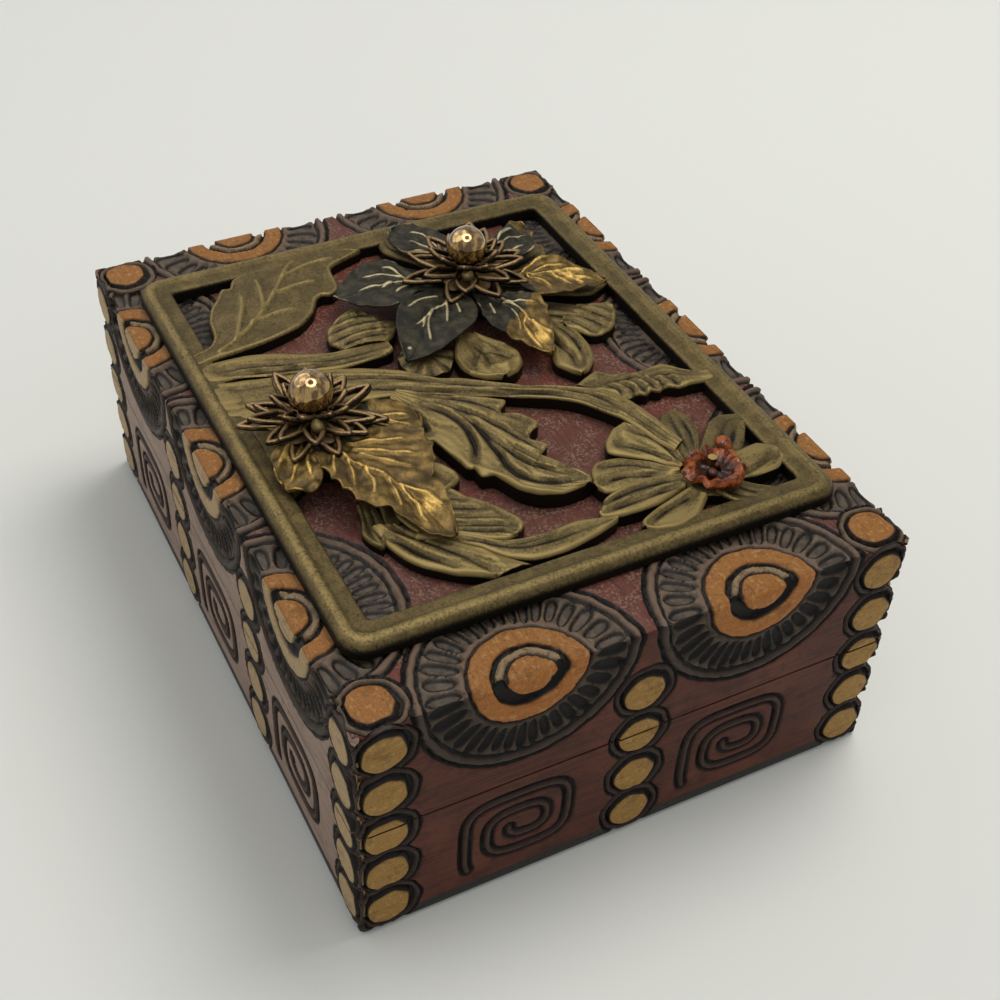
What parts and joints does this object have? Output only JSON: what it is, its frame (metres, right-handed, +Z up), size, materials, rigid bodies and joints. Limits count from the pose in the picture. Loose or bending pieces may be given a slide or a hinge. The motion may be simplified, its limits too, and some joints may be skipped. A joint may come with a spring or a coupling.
{
  "type": "trinket box",
  "caption": "Carved wooden trinket box with a hinged lid that carries an openwork brass leaf frame and applied metal flowers.",
  "frame": {"origin": "middle of the box's underside, on the surface it stands on", "axes": "+Z up, +X along the long side, the front of the box towards -Y and its hinges towards +Y"},
  "size_m": [0.13, 0.1014, 0.0634],
  "materials": {
    "stained_wood": "stained, waxed and dusty, carved in low relief",
    "black_wood": "black stained edge",
    "hinge_brass": "dull",
    "old_brass": "antiqued cast brass",
    "gilt": "bright gilt, worn",
    "dark_metal": "blackened pressed metal with rubbed veins",
    "copper_enamel": "glossy copper brown"
  },
  "bodies": {
    "base": {"bottom_board": "black_wood", "base_front": "stained_wood", "base_right": "stained_wood", "base_back": "stained_wood", "base_left": "stained_wood", "hinge_right_base_leaf": "hinge_brass", "hinge_right_pin": "hinge_brass", "hinge_right_base_screw_outer": "hinge_brass", "hinge_right_base_screw_inner": "hinge_brass", "hinge_left_base_leaf": "hinge_brass", "hinge_left_pin": "hinge_brass", "hinge_left_base_screw_outer": "hinge_brass", "hinge_left_base_screw_inner": "hinge_brass"},
    "lid": {"lid_front": "stained_wood", "lid_right": "stained_wood", "lid_back": "stained_wood", "lid_left": "stained_wood", "lid_top": "stained_wood", "hinge_right_lid_leaf": "hinge_brass", "hinge_right_lid_screw_outer": "hinge_brass", "hinge_right_lid_screw_inner": "hinge_brass", "hinge_left_lid_leaf": "hinge_brass", "hinge_left_lid_screw_outer": "hinge_brass", "hinge_left_lid_screw_inner": "hinge_brass", "brass_frame": "old_brass", "flower_a_rosette": "dark_metal", "flower_a_cup": "gilt", "flower_a_bead": "gilt", "flower_a_pin": "old_brass", "flower_a_leaf_1": "gilt", "flower_a_leaf_2": "gilt", "flower_a_leaf_3": "dark_metal", "flower_a_leaf_4": "dark_metal", "flower_a_leaf_5": "dark_metal", "flower_a_leaf_6": "dark_metal", "flower_b_rosette": "dark_metal", "flower_b_cup": "gilt", "flower_b_bead": "gilt", "flower_b_pin": "old_brass", "flower_b_leaf_1": "gilt", "flower_b_leaf_2": "gilt", "flower_b_leaf_3": "gilt", "flower_c_seat": "copper_enamel", "flower_c_pin": "old_brass"}
  },
  "joints": [
    {"name": "lid_hinge", "type": "hinge", "parent": "base", "child": "lid", "pos_m": [0, 0.0509, 0.0253], "axis": [-1, 0, 0], "range_deg": [0, 105]}
  ]
}
